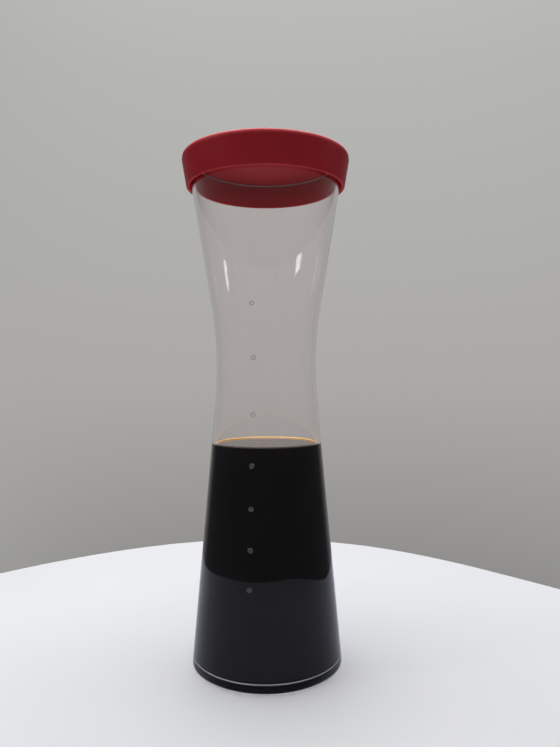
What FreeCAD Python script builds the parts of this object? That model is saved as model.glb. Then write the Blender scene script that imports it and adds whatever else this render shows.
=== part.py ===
import FreeCAD, Part
import math
import os
import Sketcher

# Cold brew coffee maker: a waisted glass carafe with a red silicone lid, seven
# measuring dots, coffee up to the waist, and a mesh filter that stands on the
# glass floor inside the coffee. Millimetres, +Z up, the origin at the centre of
# the underside, the measuring dots on the front, which faces -Y.

doc = FreeCAD.newDocument("cold_brew_coffee_maker")
dims = doc.addObject("Spreadsheet::Sheet", "dims")

sizes = {
    # glass carafe, whose neck is all that stands above the waist
    "glass_wall": 2.3,
    "glass_floor": 4.6,
    "punt_depth": 1.2,
    "foot_ring_width": 5.0,
    "base_corner": 2.8,
    "inside_corner": 2.5,
    "waist_radius": 31.7,
    "waist_height": 188.5,
    "waist_curve": 241.5,
    "lower_flare": 5.15,
    "neck_height": 129.8,
    "mouth_radius": 47.5,
    "mouth_depth": 11.2,
    "mouth_blend": 40.0,
    "lip_round": 0.95,
    # silicone lid
    "lid_fit": 0.3,
    "lid_seat": 0.1,
    "lid_skirt_lead": 0.7,
    "lid_skirt_wall": 2.0,
    "lid_skirt_depth": 15.5,
    "lid_skirt_lean": 2.8,
    "lid_skirt_round": 0.5,
    "lid_top": 4.2,
    "lid_rim_height": 3.2,
    "lid_rim_lean": 0.4,
    "lid_rim_round": 1.8,
    "lid_border": 6.5,
    "lid_dish_depth": 1.6,
    "lid_dish_slope": 1.6,
    # measuring dots
    "dot_radius": 1.6,
    "dot_thickness": 0.2,
    "dot_bond": 0.15,
    # coffee
    "coffee_level": 140.0,
    "liquid_gap": 0.3,
    # mesh filter
    "filter_radius": 20.5,
    "steel_sheet": 0.7,
    "mesh_thickness": 0.5,
    "cup_height": 12.0,
    "cup_round": 1.8,
    "basket_height": 90.0,
    "fit_gap": 0.1,
    "filter_seat": 0.1,
    "boot_wall": 1.5,
    "boot_height": 6.5,
    "boot_drain_radius": 9.0,
    "boot_round": 1.0,
    "upright_width": 5.0,
    "collar_height": 16.0,
    "collar_socket": 6.0,
    "collar_bore_radius": 18.2,
    "flange_radius": 23.4,
    "flange_thickness": 1.5,
    "flange_height": 8.5,
    # filter cap
    "cap_sheet": 0.8,
    "cap_disc": 2.4,
    "plug_radius": 16.6,
    "plug_depth": 7.0,
    "plug_bead": 0.9,
    "plug_bead_height": 1.2,
    "seal_sheet": 0.8,
    "seal_height": 3.0,
    "seal_lead": 0.3,
    "knob_radius": 5.5,
    "knob_height": 7.5,
    "knob_neck_radius": 3.6,
    "knob_neck_height": 3.0,
    "knob_round": 1.4,
    "cap_round": 1.0,
    # wire bail
    "bail_wire_radius": 1.0,
    "bail_radius": 22.7,
    "bail_bend": 2.2,
    "bail_rest_gap": 0.2,
    "pin_clearance": 0.06,
    "pin_reach": 1.4,
}

# height of each measuring dot above the table, one mark for every 100 ml
dot_heights = [59.0, 81.5, 105.0, 130.0, 160.0, 194.0, 226.0]
for number, height in enumerate(dot_heights, 1):
    sizes["dot_height_%d" % number] = height

for row, (alias, value) in enumerate(sizes.items(), 1):
    dims.set("A%d" % row, alias)
    dims.set("B%d" % row, str(value))
    dims.setAlias("B%d" % row, alias)
doc.recompute()

sub_parts = []


def size(alias):
    """The number that the sheet holds under this name."""
    return float(dims.get(alias))


def value(formula):
    """The number that a sum of sheet names comes to."""
    total = 0.0
    for term in formula.replace("- ", "+ -").split("+"):
        term = term.strip()
        sign = -1 if term.startswith("-") else 1
        total += sign * size(term.lstrip("-").replace("dims.", ""))
    return total


def origin_plane(body, role):
    """One of the body's own origin planes."""
    return next(plane for plane in body.Origin.OriginFeatures if plane.Role == role)


def new_body(label):
    """An empty body that becomes one sub-part."""
    body = doc.addObject("PartDesign::Body", label)
    body.Label = label
    sub_parts.append(body)
    return body


def new_sketch(body, name, role):
    """A sketch on one of the body's origin planes."""
    sketch = body.newObject("Sketcher::SketchObject", name)
    sketch.AttachmentSupport = (origin_plane(body, role), [""])
    sketch.MapMode = "FlatFace"
    return sketch


def bind(sketch, kind, *where, name, formula, now=None):
    """A dimension whose value follows the sheet."""
    start = value(formula) if now is None else now
    sketch.addConstraint(Sketcher.Constraint(kind, *where, start))
    index = sketch.ConstraintCount - 1
    sketch.renameConstraint(index, name)
    sketch.setExpression("Constraints." + name, formula)


def place_corner(sketch, line, name, across, up):
    """Fix the start of a line: a formula across from the axis and one up."""
    if across == "0":
        sketch.addConstraint(Sketcher.Constraint("PointOnObject", line, 1, -2))
    else:
        bind(sketch, "DistanceX", -1, 1, line, 1, name=name + "_across", formula=across, now=1.0)
    if up == "0":
        sketch.addConstraint(Sketcher.Constraint("PointOnObject", line, 1, -1))
    else:
        bind(sketch, "DistanceY", -1, 1, line, 1, name=name + "_up", formula=up, now=1.0)


def turned(label, corners):
    """A body turned about Z from a closed outline of (radius, height) formulas."""
    body = new_body(label)
    sketch = new_sketch(body, label + "_outline", "XZ_Plane")
    count = len(corners)
    spread = [
        FreeCAD.Vector(30 + 20 * math.cos(turn), 30 + 20 * math.sin(turn), 0)
        for turn in (2 * math.pi * step / count for step in range(count))
    ]
    for step in range(count):
        sketch.addGeometry(Part.LineSegment(spread[step], spread[(step + 1) % count]))
    for step in range(count):
        sketch.addConstraint(Sketcher.Constraint("Coincident", step, 2, (step + 1) % count, 1))
    for step, (across, up) in enumerate(corners):
        place_corner(sketch, step, "corner_%d" % (step + 1), across, up)
    return revolve(body, sketch, label)


def revolve(body, sketch, label):
    """A full turn of the outline about its own vertical axis."""
    turn = body.newObject("PartDesign::Revolution", label + "_turned")
    turn.Profile = sketch
    turn.ReferenceAxis = (sketch, ["V_Axis"])
    turn.Angle = 360.0
    sketch.Visibility = False
    doc.recompute()
    return body


def round_rings(body, rings, formula):
    """Round the circular edges that lie nearest the given (radius, height) pairs."""
    base = body.Tip
    edges = base.Shape.Edges
    names = []
    for radius, height in rings:
        gaps = []
        for number, edge in enumerate(edges, 1):
            if isinstance(edge.Curve, Part.Circle):
                centre = edge.Curve.Center
                gap = math.hypot(edge.Curve.Radius - radius, centre.z - height)
                gaps.append((gap, number))
        names.append("Edge%d" % min(gaps)[1])
    rounding = body.newObject("PartDesign::Fillet", base.Label + "_rounded")
    rounding.Base = (base, names)
    rounding.setExpression("Radius", formula)
    doc.recompute()
    return rounding


# Levels and radii that more than one piece shares, as formulas of the sheet.
GLASS_TOP = "dims.waist_height + dims.neck_height"
CEILING = GLASS_TOP + " + dims.lid_seat"
LID_TOP = CEILING + " + dims.lid_top"
LID_BORE = "dims.mouth_radius + dims.lid_fit"
SKIRT_BOTTOM = CEILING + " - dims.lid_skirt_depth"
SKIRT_BORE = LID_BORE + " + dims.lid_skirt_lead"
SKIRT_RADIUS = SKIRT_BORE + " + dims.lid_skirt_wall"
LID_RADIUS = SKIRT_RADIUS + " + dims.lid_skirt_lean"
RIM_RADIUS = LID_RADIUS + " - dims.lid_rim_lean"

FILTER_FOOT = "dims.glass_floor + dims.filter_seat"
BOOT_RADIUS = "dims.filter_radius + dims.fit_gap + dims.boot_wall"
BOOT_TOP = FILTER_FOOT + " + dims.boot_height"
CUP_BOTTOM = FILTER_FOOT + " + dims.boot_wall + dims.fit_gap"
CUP_TOP = CUP_BOTTOM + " + dims.cup_height"
SHEET_INSIDE = "dims.filter_radius - dims.steel_sheet"
MESH_BOTTOM = CUP_BOTTOM + " + dims.cup_round + dims.fit_gap"
MESH_TOP = MESH_BOTTOM + " + dims.basket_height"
SOCKET_TOP = MESH_TOP + " + dims.fit_gap"
COLLAR_BOTTOM = SOCKET_TOP + " - dims.collar_socket"
COLLAR_TOP = COLLAR_BOTTOM + " + dims.collar_height"
FLANGE_BOTTOM = COLLAR_BOTTOM + " + dims.flange_height"
FLANGE_TOP = FLANGE_BOTTOM + " + dims.flange_thickness"
BAIL_PIVOT = FLANGE_TOP + " + dims.bail_rest_gap + dims.bail_wire_radius"
PIN_END = "dims.filter_radius - dims.pin_reach"
BAIL_REACH = "dims.bail_radius + dims.bail_bend + dims.bail_wire_radius"
CAP_BOTTOM = COLLAR_TOP + " + dims.fit_gap"
CAP_TOP = CAP_BOTTOM + " + dims.cap_disc"
KNOB_TOP = CAP_TOP + " + dims.knob_height"
PLUG_BOTTOM = CAP_BOTTOM + " - dims.plug_depth"
SEAL_TOP = CAP_BOTTOM + " - dims.seal_lead"


# How far the upper flare leans out. It is tangent to the arc at the waist and to
# the arc that blends it into the straight mouth.
def upper_flare():
    across = size("waist_radius") + size("waist_curve") - size("mouth_radius") + size("mouth_blend")
    rise = size("neck_height") - size("mouth_depth")
    reach = size("waist_curve") + size("mouth_blend")
    return math.atan2(rise, across) - math.acos(reach / math.hypot(across, rise))


# Glass carafe: two straight flares joined by a long arc at the waist, a heavy
# floor with a slight punt, and a short straight mouth under the lid. The inside
# runs parallel to the outside at the wall's thickness.
def glass_carafe():
    wall = size("glass_wall")
    floor = size("glass_floor")
    low = math.radians(size("lower_flare"))
    high = upper_flare()
    waist_z = size("waist_height")
    curve = size("waist_curve")
    curve_x = size("waist_radius") + curve
    mouth = size("mouth_radius")
    blend = size("mouth_blend")
    lip = size("lip_round")
    top = value(GLASS_TOP)

    def polar(centre, radius, angle):
        return (centre[0] + radius * math.cos(angle), centre[1] + radius * math.sin(angle))

    low_start = polar((curve_x, waist_z), curve, math.pi + low)
    high_start = polar((curve_x, waist_z), curve, math.pi - high)

    def foot_centre(level, corner, thickness):
        height = level + corner
        across = low_start[0] + (low_start[1] - height) * math.tan(low)
        return (across - (corner + thickness) / math.cos(low), height)

    blend_centre = (mouth - blend, top - size("mouth_depth"))
    outer_foot = foot_centre(0, size("base_corner"), 0)
    inner_foot = foot_centre(floor, size("inside_corner"), wall)
    ring_inside = outer_foot[0] - size("foot_ring_width")

    body = new_body("glass_carafe")
    sketch = new_sketch(body, "glass_outline", "XZ_Plane")

    def line(start, end):
        return sketch.addGeometry(
            Part.LineSegment(FreeCAD.Vector(start[0], start[1], 0), FreeCAD.Vector(end[0], end[1], 0))
        )

    def arc(centre, radius, start, end):
        circle = Part.Circle(FreeCAD.Vector(centre[0], centre[1], 0), FreeCAD.Vector(0, 0, 1), radius)
        return sketch.addGeometry(Part.ArcOfCircle(circle, start, end))

    def rule(kind, *where):
        sketch.addConstraint(Sketcher.Constraint(kind, *where))

    waist = (curve_x, waist_z)
    quarter = math.pi / 2
    underside = line((0, size("punt_depth")), (ring_inside, 0))
    foot_ring = line((ring_inside, 0), (outer_foot[0], 0))
    outer_corner = arc(outer_foot, size("base_corner"), -quarter, low)
    outer_low = line(polar(outer_foot, size("base_corner"), low), low_start)
    outer_waist = arc(waist, curve, math.pi - high, math.pi + low)
    outer_high = line(high_start, polar(blend_centre, blend, -high))
    outer_blend = arc(blend_centre, blend, -high, 0)
    outer_mouth = line((mouth, blend_centre[1]), (mouth, top - lip))
    outer_lip = arc((mouth - lip, top - lip), lip, 0, quarter)
    lip_flat = line((mouth - lip, top), (mouth - wall + lip, top))
    inner_lip = arc((mouth - wall + lip, top - lip), lip, quarter, 2 * quarter)
    inner_mouth = line((mouth - wall, top - lip), (mouth - wall, blend_centre[1]))
    inner_blend = arc(blend_centre, blend - wall, -high, 0)
    inner_high = line(polar(blend_centre, blend - wall, -high), polar(waist, curve + wall, math.pi - high))
    inner_waist = arc(waist, curve + wall, math.pi - high, math.pi + low)
    inner_low = line(
        polar(waist, curve + wall, math.pi + low),
        polar(inner_foot, size("inside_corner"), low),
    )
    inner_corner = arc(inner_foot, size("inside_corner"), -quarter, low)
    inside_floor = line((inner_foot[0], floor), (0, floor))
    axis = line((0, floor), (0, size("punt_depth")))

    rule("Coincident", underside, 2, foot_ring, 1)
    rule("Tangent", foot_ring, 2, outer_corner, 1)
    rule("Tangent", outer_corner, 2, outer_low, 1)
    rule("Tangent", outer_low, 2, outer_waist, 2)
    rule("Tangent", outer_waist, 1, outer_high, 1)
    rule("Tangent", outer_high, 2, outer_blend, 1)
    rule("Tangent", outer_blend, 2, outer_mouth, 1)
    rule("Tangent", outer_mouth, 2, outer_lip, 1)
    rule("Tangent", outer_lip, 2, lip_flat, 1)
    rule("Tangent", lip_flat, 2, inner_lip, 1)
    rule("Tangent", inner_lip, 2, inner_mouth, 1)
    rule("Tangent", inner_mouth, 2, inner_blend, 2)
    rule("Tangent", inner_blend, 1, inner_high, 1)
    rule("Tangent", inner_high, 2, inner_waist, 1)
    rule("Tangent", inner_waist, 2, inner_low, 1)
    rule("Tangent", inner_low, 2, inner_corner, 2)
    rule("Tangent", inner_corner, 1, inside_floor, 1)
    rule("Coincident", inside_floor, 2, axis, 1)
    rule("Coincident", axis, 2, underside, 1)
    rule("PointOnObject", underside, 1, -2)
    rule("PointOnObject", inside_floor, 2, -2)
    rule("PointOnObject", foot_ring, 1, -1)
    rule("Horizontal", foot_ring)
    rule("Horizontal", lip_flat)
    rule("Horizontal", inside_floor)
    rule("Vertical", outer_mouth)
    rule("Vertical", inner_mouth)
    rule("Coincident", inner_waist, 3, outer_waist, 3)
    rule("Coincident", inner_blend, 3, outer_blend, 3)
    rule("Parallel", inner_low, outer_low)
    bind(sketch, "DistanceY", -1, 1, underside, 1, name="punt", formula="dims.punt_depth")
    bind(sketch, "DistanceY", -1, 1, inside_floor, 1, name="floor", formula="dims.glass_floor")
    bind(sketch, "DistanceY", -1, 1, lip_flat, 1, name="height", formula=GLASS_TOP)
    bind(sketch, "DistanceY", -1, 1, outer_blend, 3, name="mouth_up",
         formula=GLASS_TOP + " - dims.mouth_depth")
    bind(sketch, "DistanceY", -1, 1, outer_waist, 3, name="waist_up", formula="dims.waist_height")
    bind(sketch, "DistanceX", -1, 1, outer_waist, 3, name="waist_across",
         formula="dims.waist_radius + dims.waist_curve")
    bind(sketch, "Radius", outer_waist, name="waist_curve", formula="dims.waist_curve")
    bind(sketch, "Radius", inner_waist, name="inside_curve",
         formula="dims.waist_curve + dims.glass_wall")
    bind(sketch, "DistanceX", -1, 1, outer_mouth, 1, name="mouth", formula="dims.mouth_radius")
    bind(sketch, "Radius", outer_blend, name="blend", formula="dims.mouth_blend")
    bind(sketch, "Radius", inner_blend, name="inside_blend",
         formula="dims.mouth_blend - dims.glass_wall")
    bind(sketch, "Radius", outer_lip, name="lip_outside", formula="dims.lip_round")
    bind(sketch, "Radius", inner_lip, name="lip_inside", formula="dims.lip_round")
    bind(sketch, "Radius", outer_corner, name="corner", formula="dims.base_corner")
    bind(sketch, "Radius", inner_corner, name="inside_corner", formula="dims.inside_corner")
    bind(sketch, "DistanceX", foot_ring, 1, foot_ring, 2, name="ring", formula="dims.foot_ring_width")
    bind(sketch, "Angle", -2, outer_low, name="lower_flare", formula="dims.lower_flare * 1 deg", now=low)
    return revolve(body, sketch, "glass_carafe")


# Silicone lid: one soft cap that sits on the glass lip by its ceiling. Its skirt
# leans in towards its lower edge outside, its bore narrows upwards to hug the
# straight mouth, and a rounded rim stands round a shallow dish on top.
def lid():
    dish = LID_TOP + " - dims.lid_dish_depth"
    body = turned("lid", [
        ("0", dish),
        (LID_RADIUS + " - dims.lid_border - dims.lid_dish_slope", dish),
        (LID_RADIUS + " - dims.lid_border", LID_TOP),
        (RIM_RADIUS, LID_TOP),
        (LID_RADIUS, LID_TOP + " - dims.lid_rim_height"),
        (SKIRT_RADIUS, SKIRT_BOTTOM),
        (SKIRT_BORE, SKIRT_BOTTOM),
        (LID_BORE, CEILING),
        ("0", CEILING),
    ])
    round_rings(body, [(value(RIM_RADIUS), value(LID_TOP))], "dims.lid_rim_round")
    round_rings(
        body,
        [(value(SKIRT_RADIUS), value(SKIRT_BOTTOM)), (value(SKIRT_BORE), value(SKIRT_BOTTOM))],
        "dims.lid_skirt_round",
    )


# Where the outside of the glass lies at a height: its radius, and how far its
# outward normal tips up.
def glass_outside(height):
    low = math.radians(size("lower_flare"))
    high = upper_flare()
    curve = size("waist_curve")
    rise = height - size("waist_height")
    if rise < -curve * math.sin(low):
        tip = low
        beyond = -curve * math.sin(low) - rise
    elif rise > curve * math.sin(high):
        tip = -high
        beyond = rise - curve * math.sin(high)
    else:
        tip = -math.asin(rise / curve)
        beyond = 0.0
    radius = size("waist_radius") + curve * (1 - math.cos(tip)) + beyond * math.tan(abs(tip))
    return radius, tip


# Measuring dots: thin round enamel marks, one above the other down the front.
def measure_dots():
    for number in range(1, len(dot_heights) + 1):
        height = size("dot_height_%d" % number)
        radius, tip = glass_outside(height)
        outward = FreeCAD.Vector(0, -math.cos(tip), math.sin(tip))
        dot = doc.addObject("Part::Cylinder", "measure_dot_%d" % number)
        dot.Label = "measure_dot_%d" % number
        dot.setExpression("Radius", "dims.dot_radius")
        dot.setExpression("Height", "dims.dot_thickness")
        dot.Placement = FreeCAD.Placement(
            FreeCAD.Vector(0, -radius, height) + outward * size("dot_bond"),
            FreeCAD.Rotation(FreeCAD.Vector(0, 0, 1), outward),
        )
        sub_parts.append(dot)


# Coffee: fills the lower flare up to its level, and leaves room round the filter.
def coffee():
    inside = (
        "dims.waist_radius + dims.waist_curve * (1 - cos(dims.lower_flare * 1 deg))"
        " + (dims.waist_height - dims.waist_curve * sin(dims.lower_flare * 1 deg) - ({height}))"
        " * tan(dims.lower_flare * 1 deg)"
        " - (dims.glass_wall + dims.liquid_gap) / cos(dims.lower_flare * 1 deg)"
    )
    floor = "dims.glass_floor + dims.liquid_gap"
    fill = turned("coffee_fill", [
        ("0", floor),
        (inside.format(height=floor), floor),
        (inside.format(height="dims.coffee_level"), "dims.coffee_level"),
        ("0", "dims.coffee_level"),
    ])
    widest = max(edge.Curve.Radius for edge in fill.Shape.Edges if isinstance(edge.Curve, Part.Circle))
    round_rings(fill, [(widest, value(floor))], "dims.inside_corner - dims.liquid_gap")

    gap = " + dims.liquid_gap"
    room = turned("filter_room", [
        ("0", "0"),
        (BOOT_RADIUS + gap, "0"),
        (BOOT_RADIUS + gap, BOOT_TOP + gap),
        ("dims.filter_radius" + gap, BOOT_TOP + gap),
        ("dims.filter_radius" + gap, FLANGE_BOTTOM + " - dims.liquid_gap"),
        (BAIL_REACH + gap, FLANGE_BOTTOM + " - dims.liquid_gap"),
        (BAIL_REACH + gap, BAIL_PIVOT + " + dims.bail_wire_radius" + gap),
        ("dims.filter_radius" + gap, BAIL_PIVOT + " + dims.bail_wire_radius" + gap),
        ("dims.filter_radius" + gap, CAP_TOP + gap),
        ("dims.knob_radius" + gap, CAP_TOP + gap),
        ("dims.knob_radius" + gap, KNOB_TOP + gap),
        ("0", KNOB_TOP + gap),
    ])
    sub_parts.remove(fill)
    sub_parts.remove(room)
    drink = doc.addObject("Part::Cut", "coffee")
    drink.Label = "coffee"
    drink.Base = fill
    drink.Tool = room
    sub_parts.append(drink)


# Silicone boot under the filter, so that steel never stands on glass.
def filter_boot():
    body = turned("filter_boot", [
        ("dims.boot_drain_radius", FILTER_FOOT),
        (BOOT_RADIUS, FILTER_FOOT),
        (BOOT_RADIUS, BOOT_TOP),
        ("dims.filter_radius + dims.fit_gap", BOOT_TOP),
        ("dims.filter_radius + dims.fit_gap", FILTER_FOOT + " + dims.boot_wall"),
        ("dims.boot_drain_radius", FILTER_FOOT + " + dims.boot_wall"),
    ])
    round_rings(body, [(value(BOOT_RADIUS), value(FILTER_FOOT))], "dims.boot_round")


# Steel cup that closes the lower end of the mesh.
def filter_cup():
    body = turned("filter_cup", [
        ("0", CUP_BOTTOM),
        ("dims.filter_radius", CUP_BOTTOM),
        ("dims.filter_radius", CUP_TOP),
        (SHEET_INSIDE, CUP_TOP),
        (SHEET_INSIDE, CUP_BOTTOM + " + dims.steel_sheet"),
        ("0", CUP_BOTTOM + " + dims.steel_sheet"),
    ])
    round_rings(body, [(size("filter_radius"), value(CUP_BOTTOM))], "dims.cup_round")
    round_rings(
        body,
        [(value(SHEET_INSIDE), value(CUP_BOTTOM) + size("steel_sheet"))],
        "dims.cup_round - dims.steel_sheet",
    )


# Fine mesh tube, held by the cup below and by the collar's socket above.
def filter_mesh():
    outside = SHEET_INSIDE + " - dims.fit_gap"
    turned("filter_mesh", [
        (outside + " - dims.mesh_thickness", MESH_BOTTOM),
        (outside, MESH_BOTTOM),
        (outside, MESH_TOP),
        (outside + " - dims.mesh_thickness", MESH_TOP),
    ])


# Steel collar: socket for the mesh, bore for the cap, a flange that the folded
# bail lies on, and two holes for the bail's turned-in ends.
def filter_collar():
    body = turned("filter_collar", [
        (SHEET_INSIDE, COLLAR_BOTTOM),
        ("dims.filter_radius", COLLAR_BOTTOM),
        ("dims.filter_radius", FLANGE_BOTTOM),
        ("dims.flange_radius", FLANGE_BOTTOM),
        ("dims.flange_radius", FLANGE_TOP),
        ("dims.filter_radius", FLANGE_TOP),
        ("dims.filter_radius", COLLAR_TOP),
        ("dims.collar_bore_radius", COLLAR_TOP),
        ("dims.collar_bore_radius", SOCKET_TOP),
        (SHEET_INSIDE, SOCKET_TOP),
    ])
    whole = body.Shape.Volume
    holes = new_sketch(body, "pin_holes", "YZ_Plane")
    pivot = FreeCAD.Vector(0, value(BAIL_PIVOT), 0)
    ring = holes.addGeometry(Part.Circle(pivot, FreeCAD.Vector(0, 0, 1), 1.0))
    holes.addConstraint(Sketcher.Constraint("PointOnObject", ring, 3, -2))
    bind(holes, "DistanceY", -1, 1, ring, 3, name="pivot", formula=BAIL_PIVOT)
    bind(holes, "Radius", ring, name="hole", formula="dims.bail_wire_radius + dims.pin_clearance")
    pocket = body.newObject("PartDesign::Pocket", "pin_pocket")
    pocket.Profile = holes
    pocket.Type = "ThroughAll"
    pocket.Midplane = True
    holes.Visibility = False
    doc.recompute()
    if body.Shape.Volume >= whole:
        raise RuntimeError("the pin holes cut nothing from the collar")


# Four steel uprights join the cup to the collar outside the mesh.
def filter_uprights():
    count = 4
    for number in range(1, count + 1):
        outer = doc.addObject("Part::Cylinder", "upright_outside_%d" % number)
        inner = doc.addObject("Part::Cylinder", "upright_inside_%d" % number)
        outer.setExpression("Radius", "dims.filter_radius")
        inner.setExpression("Radius", SHEET_INSIDE)
        for round_bar in (outer, inner):
            round_bar.setExpression("Height", "(%s) - (%s)" % (COLLAR_BOTTOM, CUP_TOP))
            round_bar.setExpression("Angle", "dims.upright_width / dims.filter_radius * 1 rad")
        upright = doc.addObject("Part::Cut", "filter_upright_%d" % number)
        upright.Label = "filter_upright_%d" % number
        upright.Base = outer
        upright.Tool = inner
        half_width = math.degrees(size("upright_width") / size("filter_radius")) / 2
        middle = (number - 0.5) * 360 / count
        upright.Placement = FreeCAD.Placement(
            FreeCAD.Vector(0, 0, value(CUP_TOP)),
            FreeCAD.Rotation(FreeCAD.Vector(0, 0, 1), middle - half_width),
        )
        sub_parts.append(upright)


# Cap of the filter: a disc with a round knob and a hollow plug with a bead that
# keeps its seal on.
def filter_cap():
    inside = "dims.plug_radius - dims.cap_sheet"
    bead = "dims.plug_radius + dims.plug_bead"
    body = turned("filter_cap", [
        ("0", CAP_TOP + " - dims.cap_sheet"),
        (inside, CAP_TOP + " - dims.cap_sheet"),
        (inside, PLUG_BOTTOM),
        (bead, PLUG_BOTTOM),
        (bead, PLUG_BOTTOM + " + dims.plug_bead_height"),
        ("dims.plug_radius", PLUG_BOTTOM + " + dims.plug_bead_height"),
        ("dims.plug_radius", CAP_BOTTOM),
        ("dims.filter_radius", CAP_BOTTOM),
        ("dims.filter_radius", CAP_TOP),
        ("dims.knob_neck_radius", CAP_TOP),
        ("dims.knob_neck_radius", CAP_TOP + " + dims.knob_neck_height"),
        ("dims.knob_radius", CAP_TOP + " + dims.knob_neck_height"),
        ("dims.knob_radius", KNOB_TOP),
        ("0", KNOB_TOP),
    ])
    round_rings(body, [(size("filter_radius"), value(CAP_TOP))], "dims.cap_round")
    round_rings(body, [(size("knob_radius"), value(KNOB_TOP))], "dims.knob_round")


# Silicone seal on the plug: a band with two lips that meet the collar's bore.
def cap_seal():
    band = "dims.plug_radius + dims.fit_gap"
    body_radius = band + " + dims.seal_sheet"
    lip_radius = "dims.collar_bore_radius - dims.fit_gap"
    bottom = SEAL_TOP + " - dims.seal_height"

    def level(fifths):
        return "%s + dims.seal_height * %d / 5" % (bottom, fifths)

    turned("cap_seal", [
        (band, bottom),
        (body_radius, bottom),
        (lip_radius, level(1)),
        (body_radius, level(2)),
        (body_radius, level(3)),
        (lip_radius, level(4)),
        (body_radius, SEAL_TOP),
        (band, SEAL_TOP),
    ])


# Wire bail: one bent wire whose turned-in ends sit in the collar's holes. It is
# folded down on the flange at rest.
def lift_bail():
    body = new_body("lift_bail")
    path = new_sketch(body, "bail_path", "XY_Plane")
    reach = size("bail_radius")
    bend = size("bail_bend")
    end = value(PIN_END)
    normal = FreeCAD.Vector(0, 0, 1)
    quarter = math.pi / 2

    def arc(x, y, radius, start, stop):
        return path.addGeometry(
            Part.ArcOfCircle(Part.Circle(FreeCAD.Vector(x, y, 0), normal, radius), start, stop)
        )

    right_end = path.addGeometry(
        Part.LineSegment(FreeCAD.Vector(end, 0, 0), FreeCAD.Vector(reach - bend, 0, 0))
    )
    right_bend = arc(reach - bend, -bend, bend, 0, quarter)
    bow = arc(0, -bend, reach, 2 * quarter, 4 * quarter)
    left_bend = arc(bend - reach, -bend, bend, quarter, 2 * quarter)
    left_end = path.addGeometry(
        Part.LineSegment(FreeCAD.Vector(bend - reach, 0, 0), FreeCAD.Vector(-end, 0, 0))
    )
    for rule in (
        ("Tangent", right_end, 2, right_bend, 2),
        ("Tangent", right_bend, 1, bow, 2),
        ("Tangent", bow, 1, left_bend, 2),
        ("Tangent", left_bend, 1, left_end, 1),
        ("PointOnObject", right_end, 1, -1),
        ("Horizontal", right_end),
        ("Symmetric", right_end, 1, left_end, 2, -2),
        ("PointOnObject", left_end, 1, -1),
        ("PointOnObject", bow, 3, -2),
        ("Horizontal", right_bend, 3, bow, 3),
        ("Horizontal", bow, 3, left_bend, 3),
    ):
        path.addConstraint(Sketcher.Constraint(*rule))
    bind(path, "DistanceX", -1, 1, right_end, 1, name="pin_end", formula=PIN_END)
    bind(path, "Radius", bow, name="bow", formula="dims.bail_radius")
    bind(path, "Radius", right_bend, name="bend", formula="dims.bail_bend")

    section = new_sketch(body, "bail_section", "YZ_Plane")
    section.setExpression("AttachmentOffset.Base.z", PIN_END)
    ring = section.addGeometry(Part.Circle(FreeCAD.Vector(0, 0, 0), normal, 1.0))
    section.addConstraint(Sketcher.Constraint("Coincident", ring, 3, -1, 1))
    bind(section, "Radius", ring, name="wire", formula="dims.bail_wire_radius")
    doc.recompute()

    wire = body.newObject("PartDesign::AdditivePipe", "bail_wire")
    wire.Profile = section
    wire.Spine = path
    path.Visibility = False
    section.Visibility = False
    body.setExpression("Placement.Base.z", BAIL_PIVOT)


def write_parts():
    """Check every object and every sub-part, then write one file for each node."""
    doc.recompute()
    failed = [item.Name for item in doc.Objects if {"Invalid", "Error"} & set(item.State)]
    if failed:
        raise RuntimeError("failed objects: " + ", ".join(failed))
    for sub_part in sub_parts:
        if sub_part.Shape.isNull() or not sub_part.Shape.isValid():
            raise RuntimeError("bad shape: " + sub_part.Label)
    os.makedirs("parts", exist_ok=True)
    for sub_part in sub_parts:
        sub_part.Shape.exportStep("parts/%s.step" % sub_part.Label)
        print("%-20s %10.1f mm3" % (sub_part.Label, sub_part.Shape.Volume))


glass_carafe()
lid()
measure_dots()
coffee()
filter_boot()
filter_cup()
filter_mesh()
filter_collar()
filter_uprights()
filter_cap()
cap_seal()
lift_bail()
write_parts()
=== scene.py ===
import math

import bpy
from mathutils import Matrix, Vector


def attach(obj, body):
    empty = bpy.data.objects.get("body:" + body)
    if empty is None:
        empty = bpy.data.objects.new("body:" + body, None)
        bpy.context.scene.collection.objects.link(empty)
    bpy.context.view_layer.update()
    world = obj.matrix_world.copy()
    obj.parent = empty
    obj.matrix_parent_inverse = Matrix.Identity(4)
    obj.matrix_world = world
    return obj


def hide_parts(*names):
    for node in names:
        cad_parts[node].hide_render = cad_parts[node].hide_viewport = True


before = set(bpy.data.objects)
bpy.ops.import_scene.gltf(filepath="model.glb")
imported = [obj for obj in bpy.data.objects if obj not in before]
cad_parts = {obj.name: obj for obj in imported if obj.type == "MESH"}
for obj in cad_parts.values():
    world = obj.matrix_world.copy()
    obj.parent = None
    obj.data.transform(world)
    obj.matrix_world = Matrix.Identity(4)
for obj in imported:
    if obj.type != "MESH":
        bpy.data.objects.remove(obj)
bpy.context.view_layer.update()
mm = 0.001
scene = bpy.context.scene
scene.view_settings.view_transform = "Standard"


# The camera stands a little to the right of the measuring dots, level with the
# middle of the waist, and leans by a fifth of a degree.
view_turn = math.radians(14)


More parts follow.
